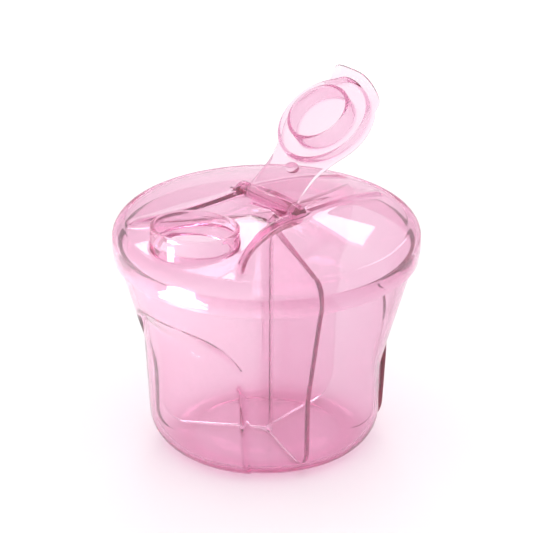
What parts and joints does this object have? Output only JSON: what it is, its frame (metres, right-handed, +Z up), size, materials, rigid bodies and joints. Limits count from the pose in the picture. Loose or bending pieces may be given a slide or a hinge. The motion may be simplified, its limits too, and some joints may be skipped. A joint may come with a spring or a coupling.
{
  "type": "formula dispenser",
  "caption": "Round translucent cup with a three-way divider, a turning domed lid with an offset spout, and a hinged flip cap.",
  "frame": {"origin": "centre of the cup's flat base", "axes": "+Z up along the cup's axis; the spout points to -Y; the flip cap's hinge runs along X"},
  "size_m": [0.112, 0.112, 0.1343],
  "materials": {
    "cup": "translucent pink polypropylene, smooth outside",
    "divider": "translucent pink, smooth",
    "lid": "translucent pink, glossy",
    "flip_cap": "translucent pink, glossy"
  },
  "bodies": {
    "cup": {"cup": "cup"},
    "divider": {"divider": "divider"},
    "lid": {"lid": "lid"},
    "flip_cap": {"flip_cap": "flip_cap"}
  },
  "joints": [
    {"name": "divider_lift", "type": "slide", "parent": "cup", "child": "divider", "axis": [0, 0, 1], "range_m": [0, 0.09]},
    {"name": "lid_turn", "type": "hinge", "parent": "divider", "child": "lid", "pos_m": [0, 0, 0.073], "axis": [0, 0, 1], "continuous": true},
    {"name": "flip_hinge", "type": "hinge", "parent": "lid", "child": "flip_cap", "pos_m": [0, 0.0015, 0.0934], "axis": [1, 0, 0], "range_deg": [0, 140]}
  ]
}
